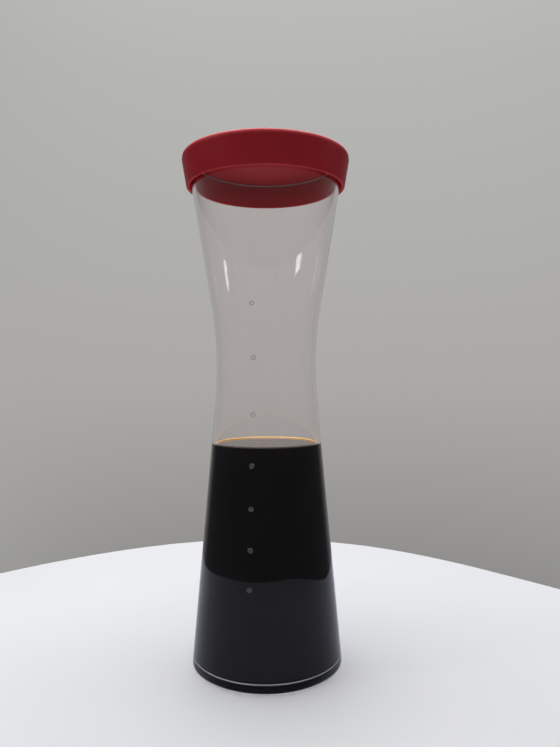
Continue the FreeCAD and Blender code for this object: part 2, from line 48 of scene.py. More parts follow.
def set_up_camera():
    distance = 413 * mm
    height = 184.6 * mm
    beside = 0.02126
    fall = 0.0006
    lean = 0.0036
    stand = Vector((distance * math.sin(view_turn), -distance * math.cos(view_turn), height))
    aim = math.pi + view_turn - beside
    forward = Vector((math.sin(aim), -math.cos(aim), -fall)).normalized()
    level = forward.cross(Vector((0, 0, 1))).normalized()
    upright = level.cross(forward)
    up = upright * math.cos(lean) + level * math.sin(lean)
    right = level * math.cos(lean) - upright * math.sin(lean)
    data = bpy.data.cameras.new("camera")
    data.sensor_width = 36
    data.lens = 30.953
    data.clip_start = 0.01
    camera = bpy.data.objects.new("camera", data)
    camera.matrix_world = Matrix((
        (right.x, up.x, -forward.x, stand.x),
        (right.y, up.y, -forward.y, stand.y),
        (right.z, up.z, -forward.z, stand.z),
        (0, 0, 0, 1),
    ))
    scene.collection.objects.link(camera)
    scene.camera = camera


set_up_camera()


# A plain pale top with a rounded outline stands for the table, and a pale grey
# wall for the room behind it. Soft light comes down from a wide lamp overhead, and
# two small lamps at the sides stand for the windows that the glass mirrors.
class Socket:
    """A socket of a node tree. Sums on it add Math nodes, and node() adds any other node."""

    def __init__(self, tree, socket=None):
        self.tree = tree
        self.socket = socket

    def node(self, kind, settings=None, sockets=None, out=0):
        """Add a node: its settings first, then the value or the link of each socket."""
        made = self.tree.nodes.new(kind)
        for name, setting in (settings or {}).items():
            if name == "stops":
                marks = made.color_ramp.elements
                marks[0].color = setting[0][1]
                marks[1].color = setting[-1][1]
                for place, colour in setting[1:-1]:
                    marks.new(place).color = colour
            else:
                setattr(made, name, setting)
        for place, given in (sockets or {}).items():
            if isinstance(given, Socket):
                self.tree.links.new(given.socket, made.inputs[place])
            else:
                made.inputs[place].default_value = given
        return Socket(self.tree, made.outputs[out] if made.outputs else None)

    def also(self, name):
        """Another output of the node that this socket belongs to."""
        return Socket(self.tree, self.socket.node.outputs[name])

    def parts(self):
        """The X, Y and Z of this vector."""
        across = self.node("ShaderNodeSeparateXYZ", None, {0: self}, out="X")
        return across, across.also("Y"), across.also("Z")

    def maths(self, operation, *others):
        return self.node("ShaderNodeMath", {"operation": operation}, dict(enumerate((self, *others))))

    def __add__(self, other):
        return self.maths("ADD", other)

    def __sub__(self, other):
        return self.maths("SUBTRACT", other)

    def __rsub__(self, other):
        return self.node("ShaderNodeMath", {"operation": "SUBTRACT"}, {0: other, 1: self})

    def __mul__(self, other):
        return self.maths("MULTIPLY", other)

    def __truediv__(self, other):
        return self.maths("DIVIDE", other)

    def ramp(self, start, end):
        """0 below start, 1 above end, and a smooth step between them."""
        return self.node(
            "ShaderNodeMapRange",
            {"interpolation_type": "SMOOTHSTEP"},
            {"Value": self, "From Min": start, "From Max": end},
        )

    def mixed(self, first, second):
        """Two colours, mixed by this value."""
        colours = {0: self, 6: first, 7: second}
        return self.node("ShaderNodeMix", {"data_type": "RGBA"}, colours, out=2)


def length(across, along):
    """How long the way is that goes this far across and this far along."""
    return (across * across + along * along).maths("SQRT")


def tone(red, green, blue):
    """A colour as it shows on screen, 0 to 255, in the numbers that a shader takes."""
    shares = [level / 255 for level in (red, green, blue)]
    return tuple(s / 12.92 if s <= 0.04045 else ((s + 0.055) / 1.055) ** 2.4 for s in shares) + (1,)


def material(name):
    """An empty material and the start of its nodes."""
    made = bpy.data.materials.new(name)
    made.use_nodes = True
    made.node_tree.nodes.clear()
    return made, Socket(made.node_tree)


def finish_material(start, shader):
    start.node("ShaderNodeOutputMaterial", None, {"Surface": shader})


def make_floor():
    paint, start = material("pale_top")
    place = start.node("ShaderNodeTexCoord", out="Object")
    cloud = start.node("ShaderNodeTexNoise", None, {"Vector": place, "Scale": 9, "Detail": 2})
    colour = cloud.mixed(tone(236, 237, 241), tone(240, 241, 245))
    # Painted shade: what the glass and the steel mirror of the top is a darker, bluer grey, for the
    # shade on the part of the table near the camera.
    mirrored = start.node("ShaderNodeLightPath", out="Is Glossy Ray")
    finish_material(start, start.node("ShaderNodeBsdfPrincipled", None, {
        "Base Color": mirrored.mixed(colour, tone(196, 199, 212)),
        "Roughness": 0.5,
        "Specular IOR Level": 0.3,
    }))
    near = Vector((math.sin(view_turn), -math.cos(view_turn), 0))
    right = Vector((-near.y, near.x, 0))
    # The edge lies this far from the carafe in the mean. Waves of one, two and three
    # swings in a full turn, each a cosine and a sine, bring it in and out.
    mean = 381
    waves = ((-114, -12), (26, -11), (11, 6))

    def reach(turn):
        """How far the top reaches from the carafe, turning right from straight behind it."""
        swings = [
            cosine * math.cos(count * turn) + sine * math.sin(count * turn)
            for count, (cosine, sine) in enumerate(waves, 1)
        ]
        return (mean + sum(swings)) * mm

    # The rows round the edge: how far in from it, and how high.
    rows = [(3 * mm, 0), (0.9 * mm, -0.9 * mm), (0, -3 * mm), (0, -22 * mm)]
    steps = 256
    points = []
    for inset, height in rows:
        for step in range(steps):
            turn = -2 * math.pi * step / steps
            way = right * math.sin(turn) - near * math.cos(turn)
            points.append(way * (reach(turn) - inset) + Vector((0, 0, height)))
    faces = [tuple(range(steps))]
    for row in range(len(rows) - 1):
        for step in range(steps):
            after = (step + 1) % steps
            faces.append((
                row * steps + step,
                (row + 1) * steps + step,
                (row + 1) * steps + after,
                row * steps + after,
            ))
    mesh = bpy.data.meshes.new("floor")
    mesh.from_pydata(points, [], faces)
    mesh.materials.append(paint)
    floor = bpy.data.objects.new("floor", mesh)
    scene.collection.objects.link(floor)


def make_room():
    world = bpy.data.worlds.new("room")
    scene.world = world
    world.use_nodes = True
    world.node_tree.nodes.clear()
    sky = Socket(world.node_tree)
    across, along, rise = sky.node("ShaderNodeTexCoord", out="Generated").parts()
    lowest = -0.3
    span = 0.8
    wall = sky.node("ShaderNodeValToRGB", {"stops": (
        (0.0, tone(140, 139, 138)),
        (0.06, tone(147, 146, 144)),
        (0.22, tone(162, 160, 157)),
        (0.35, tone(171, 169, 166)),
        (0.70, tone(177, 177, 174)),
        (0.90, tone(182, 182, 180)),
        (1.0, tone(187, 187, 185)),
    )}, {"Fac": (rise - lowest) / span})
    middle = 0.09
    aside = across * math.cos(view_turn) + along * math.sin(view_turn) - middle
    wall = (aside * aside).ramp(0.0, 0.5).mixed(wall, tone(170, 169, 166))
    # The camera, and what looks through the glass, see the wall. Mirrors see a room
    # that darkens away from it, and all other light is even.
    to_camera = across * math.sin(view_turn) - along * math.cos(view_turn)
    mirrored = to_camera.ramp(-1.0, -0.55).mixed(wall, tone(66, 66, 70))
    ray = sky.node("ShaderNodeLightPath", out="Is Camera Ray")
    straight = ray.maths("MAXIMUM", ray.also("Is Transmission Ray"))
    shown = straight.maths("MAXIMUM", ray.also("Is Glossy Ray"))
    even = (0.18, 0.18, 0.185, 1)
    background = sky.node("ShaderNodeBackground", None, {
        "Color": shown.mixed(even, straight.mixed(mirrored, wall)),
    })
    sky.node("ShaderNodeOutputWorld", None, {"Surface": background})


def add_lamp(name, place, power, **shape):
    """A flat lamp that shines straight down."""
    data = bpy.data.lights.new(name, "AREA")
    data.energy = power
    for size, given in shape.items():
        setattr(data, size, given)
    lamp = bpy.data.objects.new(name, data)
    lamp.location = place
    scene.collection.objects.link(lamp)
    return lamp


def make_lamps():
    add_lamp("overhead", (-0.1, 0.15, 1.2), 14.5, shape="DISK", size=1.1)
    upper_glass = Vector((0, 0, 0.24))
    for name, place, width, height, power in (
        ("left_window", (-0.95, -0.54, 0.83), 0.22, 0.13, 0.8),
        ("right_window", (1.06, 0.42, 0.71), 0.11, 0.07, 0.3),
    ):
        lamp = add_lamp(name, place, power, shape="RECTANGLE", size=width, size_y=height)
        aim = upper_glass - lamp.location
        lamp.rotation_euler = aim.to_track_quat("-Z", "Y").to_euler()


make_floor()
make_room()
make_lamps()


# The carafe: blown glass, turned smooth all round, with two straight flares that
# meet in a long curve at the waist, a thick floor and a fire-polished lip. The
# lid's skirt hides the short straight mouth.
def new_tree(name, result, **inputs):
    """A node group with these inputs, each a name and a kind, and the start of its nodes."""
    tree = bpy.data.node_groups.new(name, "GeometryNodeTree")
    for title, kind in inputs.items():
        tree.interface.new_socket(
            title.replace("_", " "),
            in_out="INPUT",
            socket_type="NodeSocket" + kind,
        )
    tree.interface.new_socket(result, in_out="OUTPUT", socket_type="NodeSocketGeometry")
    return tree, Socket(tree).node("NodeGroupInput")


def finish_tree(start, result, shape):
    """Give the shape its material and hand it on as the group's result."""
    solid = start.node("GeometryNodeRealizeInstances", None, {"Geometry": shape})
    done = start.node("GeometryNodeSetMaterial", None, {
        "Geometry": solid,
        "Material": start.also("Finish"),
    })
    start.node("NodeGroupOutput", None, {result: done})


def turning_tree():
    """Nodes that turn an outline about the upright axis. Its first point and its last point
    close on the axis or on each other."""
    tree, outline = new_tree(
        "turn_about_the_axis",
        "Turned",
        Outline="Geometry",
        Steps_Round="Int",
        Finish="Material",
    )

    def named(kind, name):
        return outline.node("GeometryNodeInputNamedAttribute", {"data_type": kind}, {"Name": name})

    corners = outline.node("GeometryNodeMeshToCurve", None, {"Mesh": outline})
    line = outline.node("GeometryNodeFilletCurve", {"mode": "POLY"}, {
        "Curve": corners,
        "Count": named("INT", "round_steps"),
        "Radius": named("FLOAT", "round_radius"),
    })
    count = outline.node(
        "GeometryNodeAttributeDomainSize",
        {"component": "CURVE"},
        {"Geometry": line},
        out="Point Count",
    )
    steps = outline.also("Steps Round")
    ring = steps + 1
    grid = outline.node("GeometryNodeMeshGrid", None, {"Vertices X": count, "Vertices Y": ring})
    index = outline.node("GeometryNodeInputIndex")
    column = (index / ring + 0.0001).maths("FLOOR")
    row = index - column * ring
    turn = row / steps * (2 * math.pi)
    corner = outline.node(
        "GeometryNodeSampleIndex",
        {"data_type": "FLOAT_VECTOR"},
        {"Geometry": line, "Value": outline.node("GeometryNodeInputPosition"), "Index": column},
    )
    across, _, height = corner.parts()
    place = outline.node("ShaderNodeCombineXYZ", None, {
        "X": across * turn.maths("COSINE"),
        "Y": across * turn.maths("SINE"),
        "Z": height,
    })
    wall = outline.node("GeometryNodeSetPosition", None, {"Geometry": grid, "Position": place})
    closed = outline.node("GeometryNodeMergeByDistance", None, {
        "Geometry": wall,
        "Distance": 0.004 * mm,
    })
    outward = outline.node("GeometryNodeFlipFaces", None, {"Mesh": closed})
    smooth = outline.node("GeometryNodeSetShadeSmooth", None, {"Geometry": outward})
    finish_tree(outline, "Turned", smooth)
    return tree


turning = turning_tree()


def new_piece(name, mesh):
    piece = bpy.data.objects.new(name, mesh)
    scene.collection.objects.link(piece)
    return piece


def run_tree(piece, tree, **inputs):
    """Put a tree on a piece, turn the result into a plain mesh and take the tree off."""
    modifier = piece.modifiers.new("shape", "NODES")
    modifier.node_group = tree
    for name, given in inputs.items():
        modifier[tree.interface.items_tree[name.replace("_", " ")].identifier] = given
    graph = bpy.context.evaluated_depsgraph_get()
    shaped = bpy.data.meshes.new_from_object(piece.evaluated_get(graph), depsgraph=graph)
    piece.modifiers.clear()
    piece.data = shaped
    shaped.name = piece.name
    return piece


def sharpen(piece, crease=38):
    """Show every edge that bends by more degrees than this as a sharp one."""
    piece.data.set_sharp_from_angle(angle=math.radians(crease))
    return piece


def turned(name, corners, finish, steps=160, crease=38):
    """A turned piece from its outline, which goes up the outside: (radius, height) in
    millimetres, then the radius that rounds the corner and the steps in it."""
    line = bpy.data.meshes.new(name)
    line.from_pydata(
        [(corner[0] * mm, 0, corner[1] * mm) for corner in corners],
        [(step, step + 1) for step in range(len(corners) - 1)],
        [],
    )
    radius = line.attributes.new("round_radius", "FLOAT", "POINT")
    count = line.attributes.new("round_steps", "INT", "POINT")
    for step, corner in enumerate(corners):
        radius.data[step].value = corner[2] * mm if len(corner) > 2 else 0
        count.data[step].value = corner[3] if len(corner) > 3 else 1
    piece = run_tree(new_piece(name, line), turning, Steps_Round=steps, Finish=finish)
    return sharpen(piece, crease)


def glass_finish():
    made, start = material("clear_glass")
    across, along, height = start.node("ShaderNodeTexCoord", out="Object").parts()
    round_way = start.node("ShaderNodeCombineXYZ", None, {
        "X": across * 240,
        "Y": along * 240,
        "Z": height * 12,
    })
    streak = start.node("ShaderNodeTexNoise", None, {"Vector": round_way, "Scale": 1, "Detail": 3})
    glass = start.node("ShaderNodeBsdfPrincipled", None, {
        "Base Color": streak.mixed(tone(255, 253, 253), tone(251, 247, 248)),
        "Roughness": 0.0,
        "IOR": 1.5,
        "Transmission Weight": 1.0,
        "Specular Tint": (0.5, 0.5, 0.5, 1),
    })
    pale = start.node("ShaderNodeBsdfPrincipled", None, {
        "Base Color": tone(225, 226, 224),
        "Roughness": 0.6,
    })
    clear = start.node("ShaderNodeBsdfTransparent", None, {"Color": (1, 0.982, 0.985, 1)})
    shadow = start.node("ShaderNodeLightPath", out="Is Shadow Ray")
    # The top of the lip is painted a pale matt grey: painted light, for the light that the glass
    # carries up to its edge. Shadows fall through the glass as if it were clear.
    lip = height.ramp(0.31745, 0.3177)
    body = start.node("ShaderNodeMixShader", None, {0: lip, 1: glass, 2: pale})
    finish_material(start, start.node("ShaderNodeMixShader", None, {0: shadow, 1: body, 2: clear}))
    return made


def wall_corner(lower, upper, wall):
    """Where two straight walls meet on the inside, for a wall of this thickness: each wall is
    (radius, height) of a point outside, and how far it leans out, going up, in radians."""
    (low_r, low_z, low_lean), (high_r, high_z, high_lean) = lower, upper
    low_r -= wall / math.cos(low_lean)
    high_r -= wall / math.cos(high_lean)
    slope_low = math.tan(low_lean)
    slope_high = math.tan(high_lean)
    height = (high_r - low_r + slope_low * low_z - slope_high * high_z) / (slope_low - slope_high)
    return low_r + (height - low_z) * slope_low, height


waist_radius = 31.7
waist_height = 188.5
waist_curve = 241.5
low_lean = math.radians(-5.15)
high_lean = math.radians(9.3979)


def glass_radius(height, inset):
    """The radius of the lower flare at a height, this far in from its outside."""
    radius = waist_radius + waist_curve * (1 - math.cos(low_lean))
    above = height - waist_height - waist_curve * math.sin(low_lean)
    return radius + above * math.tan(low_lean) - inset / math.cos(low_lean)


def make_carafe():
    height = 318.3
    mouth = 47.5
    mouth_curve = 40
    wall = 2.3
    lip = 0.95
    floor = 4.6
    punt = 1.2
    foot_ring = 42.5
    heel = 2.8
    inside_corner = 2.5
    above_corner = 6

    def flare(lean):
        """Where a flare leaves the waist's curve, and how far it leans out, going up."""
        radius = waist_radius + waist_curve - waist_curve * math.cos(lean)
        return radius, waist_height + waist_curve * math.sin(lean), lean

    low = flare(low_lean)
    high = flare(high_lean)
    straight = (mouth, height, 0.0)
    # A point just above each rounded corner of the foot keeps the long walls' shading
    # straight.
    return turned("carafe", [
        (0, punt),
        (foot_ring, 0, 1.5, 4),
        (glass_radius(0, 0), 0, heel, 8),
        (glass_radius(above_corner, 0), above_corner),
        (*wall_corner(low, high, 0), waist_curve, 56),
        (*wall_corner(high, straight, 0), mouth_curve, 12),
        (mouth, height, lip, 6),
        (mouth - wall, height, lip, 6),
        (*wall_corner(high, straight, wall), mouth_curve - wall, 12),
        (*wall_corner(low, high, wall), waist_curve + wall, 56),
        (glass_radius(floor + above_corner, wall), floor + above_corner),
        (glass_radius(floor, wall), floor, inside_corner, 8),
        (0, floor),
    ], glass_finish(), steps=256)


carafe = make_carafe()
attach(carafe, "carafe")
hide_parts("glass_carafe")


# The lid: one moulded cap of soft red silicone. Its skirt leans in towards the
# glass and hugs the mouth, and its top is a shallow dish inside a raised border.
def red_silicone():
    made, start = material("red_silicone")
    place = start.node("ShaderNodeTexCoord", out="Object")
    across, along, height = place.parts()
    radius = length(across, along)
    bloom = start.node("ShaderNodeTexNoise", None, {"Vector": place, "Scale": 60, "Detail": 4})
    grain = start.node("ShaderNodeTexNoise", None, {"Vector": place, "Scale": 2600, "Detail": 2})
    bump = start.node("ShaderNodeBump", None, {
        "Strength": 0.12,
        "Distance": 0.06 * mm,
        "Height": grain,
    })
    # Painted light: the inside and the top of the inside are painted a lighter red for the light
    # that comes through the silicone, and the raised border a pale red as a painted highlight
    # from the light above.
    inside = radius.ramp(0.0496, 0.0488) * height.ramp(0.3196, 0.3188)
    ceiling = inside * height.ramp(0.3182, 0.3174)
    border = radius.ramp(0.050, 0.0515) * height.ramp(0.3200, 0.3212)
    red = bloom.mixed(tone(170, 31, 41), tone(177, 35, 46))
    red = inside.mixed(red, tone(206, 36, 48))
    red = ceiling.mixed(red, tone(222, 34, 48))
    finish_material(start, start.node("ShaderNodeBsdfPrincipled", None, {
        "Base Color": border.mixed(red, tone(232, 78, 86)),
        "Roughness": bloom * 0.08 + 0.42,
        "Specular IOR Level": 0.25,
        "Normal": bump,
    }))
    return made


def make_lid():
    skirt_foot = 302.9
    ceiling = 318.4
    widest = 319.4
    dish = 321.0
    top = 322.6
    return turned("silicone_lid", [
        (0, ceiling),
        (47.8, ceiling, 0.5, 4),
        (48.5, skirt_foot, 0.5, 5),
        (50.5, skirt_foot, 0.5, 5),
        (53.3, widest, 0.15, 2),
        (52.9, top, 1.8, 9),
        (46.8, top, 0.6, 4),
        (45.2, dish, 0.8, 4),
        (0, dish),
    ], red_silicone(), steps=256)


lid = make_lid()
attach(lid, "lid")
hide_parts("lid")


# The coffee: brewed dark, nearly black through the glass, filling the lower flare
# to below the waist. It touches the glass all round, and its top lies still.
def coffee_finish():
    made, start = material("coffee")
    place = start.node("ShaderNodeTexCoord", out="Object")
    height = place.parts()[2]
    depth = start.node("ShaderNodeTexNoise", None, {"Vector": place, "Scale": 25, "Detail": 2})
    body = depth.mixed(tone(23, 21, 23), tone(27, 24, 26))
    # Painted light: near the floor, where it is thin, the coffee is painted tan for the light that
    # comes through it there.
    drink = start.node("ShaderNodeBsdfPrincipled", None, {
        "Base Color": height.ramp(0.0058, 0.0048).mixed(body, tone(96, 82, 66)),
        "Roughness": 0.1,
        "Specular IOR Level": 0.05,
    })
    # The top is painted a lighter brown than the coffee below it: a painted sheen for the light its
    # still surface reflects, on top of its real reflection.
    surface = start.node("ShaderNodeBsdfPrincipled", None, {
        "Base Color": depth.mixed(tone(52, 40, 34), tone(60, 46, 38)),
        "Roughness": 0.06,
        "IOR": 1.33,
    })
    top = height.ramp(0.1397, 0.1399)
    finish_material(start, start.node("ShaderNodeMixShader", None, {0: top, 1: drink, 2: surface}))
    return made


coffee_level = 140.0


def make_coffee():
    floor = 4.75
    inset = 2.25
    border = 3.4
    above_corner = 14
    return turned("coffee_drink", [
        (0, floor),
        (glass_radius(floor, inset), floor, 2.5, 8),
        (glass_radius(above_corner, inset), above_corner),
        (glass_radius(coffee_level, inset), coffee_level),
        (glass_radius(coffee_level, border), coffee_level),
        (0, coffee_level),
    ], coffee_finish(), steps=256, crease=60)


drink = make_coffee()
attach(drink, "carafe")
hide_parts("coffee")


# The rim of the coffee: it wets the glass and climbs a millimetre up it. Its slope is painted
# amber, paler towards the top: painted light for the light that comes through the thin coffee
# there. The side that lies against the glass is painted a grey-brown, lighter than the coffee:
# a painted reflection of the light in the curved rim.
def rim_finish():
    made, start = material("thin_coffee")
    across, along, height = start.node("ShaderNodeTexCoord", out="Object").parts()
    # Painted light: amber where the thin coffee lets light through, paler towards the top.
    amber = height.ramp(0.1400, 0.1405).mixed(tone(226, 150, 60), tone(250, 206, 120))
    # The glass gets narrower by this much for each metre up.
    taper = 0.0901
    # Against the glass the rim is painted grey-brown, a painted reflection.
    at_the_glass = (length(across, along) + height * taper).ramp(0.04524, 0.04532)
    finish_material(start, start.node("ShaderNodeBsdfPrincipled", None, {
        "Base Color": at_the_glass.mixed(amber, tone(92, 86, 80)),
        "Roughness": 0.3,
    }))
    return made


def make_rim():
    foot = coffee_level - 0.1
    top = coffee_level + 0.9
    lift = 0.15
    outer = 2.34
    toe = (glass_radius(foot, 3.6), foot + lift)
    return turned("coffee_rim", [
        toe,
        (glass_radius(foot, outer), foot),
        (glass_radius(top, outer), top, 0.1, 2),
        (glass_radius(top, 2.5), top - lift, 0.8, 4),
        toe,
    ], rim_finish(), steps=256, crease=60)


rim = make_rim()
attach(rim, "carafe")


# The measuring dots: seven round enamel marks, fired on the outside of the glass
# one above the other, one for every 100 ml from 300 to 900.
def dot_tree():
    """Nodes that lay a round mark on the glass at each point of a list."""
    tree, places = new_tree(
        "dots_on_the_glass",
        "Dots",
        Places="Geometry",
        Radius="Float",
        Thickness="Float",
        Glass_Radius="Float",
        Finish="Material",
    )
    plain = places.node("GeometryNodeMeshCylinder", None, {
        "Vertices": 32,
        "Side Segments": 1,
        "Fill Segments": 5,
        "Radius": places.also("Radius"),
        "Depth": places.also("Thickness"),
    })
    across, along, _ = places.node("GeometryNodeInputPosition").parts()
    disc = places.node(
        "GeometryNodeStoreNamedAttribute",
        {"data_type": "FLOAT", "domain": "POINT"},
        {
            "Geometry": plain,
            "Name": "from_middle",
            "Value": length(across, along) / places.also("Radius"),
        },
    )
    tilt = places.node(
        "GeometryNodeInputNamedAttribute",
        {"data_type": "FLOAT_VECTOR"},
        {"Name": "outward"},
    )
    stand = places.node("FunctionNodeAlignRotationToVector", {"axis": "Z"}, {"Vector": tilt})
    laid = places.node("GeometryNodeInstanceOnPoints", None, {
        "Points": places,
        "Instance": disc,
        "Rotation": stand,
    })
    solid = places.node("GeometryNodeRealizeInstances", None, {"Geometry": laid})
    across = places.node("GeometryNodeInputPosition").parts()[0]
    sag = across * across / (places.also("Glass Radius") * 2)
    bent = places.node("GeometryNodeSetPosition", None, {
        "Geometry": solid,
        "Offset": places.node("ShaderNodeCombineXYZ", None, {"Y": sag}),
    })
    finish_tree(places, "Dots", bent)
    return tree


def dot_finish():
    made, start = material("dot_enamel")
    place = start.node("ShaderNodeTexCoord", out="Object")
    reach = start.node("ShaderNodeAttribute", {"attribute_name": "from_middle"}, out="Fac")
    speck = start.node("ShaderNodeTexNoise", None, {"Vector": place, "Scale": 4000, "Detail": 2})
    finish_material(start, start.node("ShaderNodeBsdfPrincipled", None, {
        "Base Color": speck.mixed(tone(150, 143, 143), tone(164, 157, 157)),
        "Roughness": 0.55,
        "Alpha": reach.ramp(0.25, 0.6) * 0.16 + 0.05,
    }))
    return made


def make_dots():
    radius = 1.6
    thickness = 0.2
    gap = 0.15
    bend = 36
    steepest = -low_lean
    places = []
    ways = []
    for height in (59.0, 81.5, 105.0, 130.0, 160.0, 194.0, 226.0):
        fall = waist_height - height
        lean = min(steepest, math.asin(fall / waist_curve))
        below_curve = max(0.0, fall - waist_curve * math.sin(steepest))
        glass = waist_radius + waist_curve * (1 - math.cos(lean)) + below_curve * math.tan(steepest)
        outward = Vector((0, -math.cos(lean), math.sin(lean)))
        middle = Vector((0, -glass, height)) + outward * (gap + thickness / 2)
        places.append(tuple(middle * mm))
        ways.append(tuple(outward))
    line = bpy.data.meshes.new("measuring_dots")
    line.from_pydata(places, [], [])
    outward = line.attributes.new("outward", "FLOAT_VECTOR", "POINT")
    for step, way in enumerate(ways):
        outward.data[step].vector = way
    return run_tree(
        new_piece("measuring_dots", line),
        dot_tree(),
        Radius=radius * mm,
        Thickness=thickness * mm,
        Glass_Radius=bend * mm,
        Finish=dot_finish(),
    )


dots = make_dots()
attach(dots, "carafe")
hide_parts(*["measure_dot_%d" % number for number in range(1, 8)])


# The boot: a cup of grey silicone that the filter stands in, so that steel never
# touches the glass floor. A hole in it lets the filter drain.
def grey_silicone():
    made, start = material("grey_silicone")
    place = start.node("ShaderNodeTexCoord", out="Object")
    bloom = start.node("ShaderNodeTexNoise", None, {"Vector": place, "Scale": 90, "Detail": 4})
    grain = start.node("ShaderNodeTexNoise", None, {"Vector": place, "Scale": 2600, "Detail": 2})
    bump = start.node("ShaderNodeBump", None, {
        "Strength": 0.15,
        "Distance": 0.06 * mm,
        "Height": grain,
    })
    finish_material(start, start.node("ShaderNodeBsdfPrincipled", None, {
        "Base Color": bloom.mixed(tone(118, 118, 120), tone(130, 130, 132)),
        "Roughness": bloom * 0.1 + 0.5,
        "Specular IOR Level": 0.45,
        "Normal": bump,
    }))
    return made


def make_boot():
    hole = 9
    inside = 20.6
    outside = 22.1
    foot = 4.7
    floor = 6.2
    top = 11.2
    seam = (hole, 5.4)
    return turned("filter_boot_ring", [
        seam,
        (hole, foot, 0.3, 3),
        (outside, foot, 1.0, 5),
        (outside, top, 0.5, 4),
        (inside, top, 0.4, 3),
        (inside, floor, 0.3, 3),
        (hole, floor, 0.3, 3),
        seam,
    ], soft_grey, steps=128)


soft_grey = grey_silicone()
boot = make_boot()
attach(boot, "filter")
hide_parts("filter_boot")


# The cup: drawn from thin stainless sheet and brushed round, it closes the foot
# of the mesh and is welded to the four uprights.
def brushed_steel():
    made, start = material("brushed_steel")
    place = start.node("ShaderNodeTexCoord", out="Object")
    across, along, height = place.parts()
    round_way = start.node("ShaderNodeCombineXYZ", None, {
        "X": along.maths("ARCTAN2", across) * 1.6,
        "Y": length(across, along) * 5200,
        "Z": height * 5200,
    })
    line = start.node("ShaderNodeTexNoise", None, {"Vector": round_way, "Scale": 1, "Detail": 3})
    smudge = start.node("ShaderNodeTexNoise", None, {"Vector": place, "Scale": 70, "Detail": 3})
    bump = start.node("ShaderNodeBump", None, {
        "Strength": 0.2,
        "Distance": 0.04 * mm,
        "Height": line,
    })
    finish_material(start, start.node("ShaderNodeBsdfPrincipled", None, {
        "Base Color": line.mixed(tone(208, 208, 207), tone(226, 226, 224)),
        "Metallic": 0.6,
        "Roughness": line * 0.12 + smudge * 0.1 + 0.22,
        "Normal": bump,
    }))
    return made


sheet_inside = 19.8
sheet_outside = 20.5
cup_top = 18.3


def make_cup():
    foot = 6.3
    floor = 7.0
    return turned("filter_cup_shell", [
        (0, foot),
        (sheet_outside, foot, 1.8, 7),
        (sheet_outside, cup_top, 0.25, 3),
        (sheet_inside, cup_top, 0.25, 3),
        (sheet_inside, floor, 1.1, 5),
        (0, floor),
    ], steel, steps=128)


steel = brushed_steel()
cup = make_cup()
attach(cup, "filter")
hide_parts("filter_cup")


# The mesh: fine stainless wire cloth, rolled into a tube and welded along one
# seam. It sits in the cup below and in the collar's socket above.
def wire_cloth():
    made, start = material("wire_cloth")
    across, along, height = start.node("ShaderNodeTexCoord", out="Object").parts()
    wires_round = 168
    pitch = 0.74 * mm
    turn = along.maths("ARCTAN2", across)
    warp = (turn * wires_round).maths("COSINE")
    weft = (height * (2 * math.pi / pitch)).maths("COSINE")
    cloth = warp.maths("MAXIMUM", weft)
    seam = turn.maths("ABSOLUTE").ramp(0.1, 0.08)
    solid = cloth.ramp(-0.35, 0.0).maths("MAXIMUM", seam)
    over_and_under = (turn * (wires_round / 2)).maths("COSINE").maths("SIGN")
    relief = (cloth + warp * over_and_under * 0.3) * (1 - seam)
    bump = start.node("ShaderNodeBump", None, {
        "Strength": 0.6,
        "Distance": 0.15 * mm,
        "Height": relief,
    })
    # Painted shade: the wires are painted darker towards their edges, next to the openings.
    finish_material(start, start.node("ShaderNodeBsdfPrincipled", None, {
        "Base Color": cloth.ramp(-0.5, 0.9).mixed(tone(110, 110, 109), tone(216, 216, 214)),
        "Metallic": 0.6,
        "Roughness": 0.34,
        "Alpha": solid,
        "Normal": bump,
    }))
    return made


def make_sleeve():
    inside = 19.2
    outside = 19.7
    foot = 8.2
    top = 98.2
    return turned("filter_mesh_sleeve", [
        (inside, foot),
        (outside, foot),
        (outside, top),
        (inside, top),
        (inside, foot),
    ], wire_cloth(), steps=160)


sleeve = make_sleeve()
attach(sleeve, "filter")
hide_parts("filter_mesh")


# The uprights: four strips of the same sheet, spot-welded to the cup below and to
# the collar above, that keep the mesh straight when it is full.
def upright_tree():
    """Nodes that repeat one strip evenly round the filter."""
    tree, strip = new_tree(
        "uprights_round_the_mesh",
        "Uprights",
        Strip="Geometry",
        Strips="Int",
        First_Turn="Float",
        Finish="Material",
    )
    count = strip.also("Strips")
    index = strip.node("GeometryNodeInputIndex")
    turn = index / count * (2 * math.pi) + strip.also("First Turn")
    round_turn = strip.node("ShaderNodeCombineXYZ", None, {"Z": turn})
    ring = strip.node("GeometryNodeInstanceOnPoints", None, {
        "Points": strip.node("GeometryNodePoints", None, {"Count": count}),
        "Instance": strip,
        "Rotation": strip.node("FunctionNodeEulerToRotation", None, {"Euler": round_turn}),
    })
    solid = strip.node("GeometryNodeRealizeInstances", None, {"Geometry": ring})
    smooth = strip.node("GeometryNodeSetShadeSmooth", None, {"Geometry": solid})
    finish_tree(strip, "Uprights", smooth)
    return tree


collar_foot = 92.3


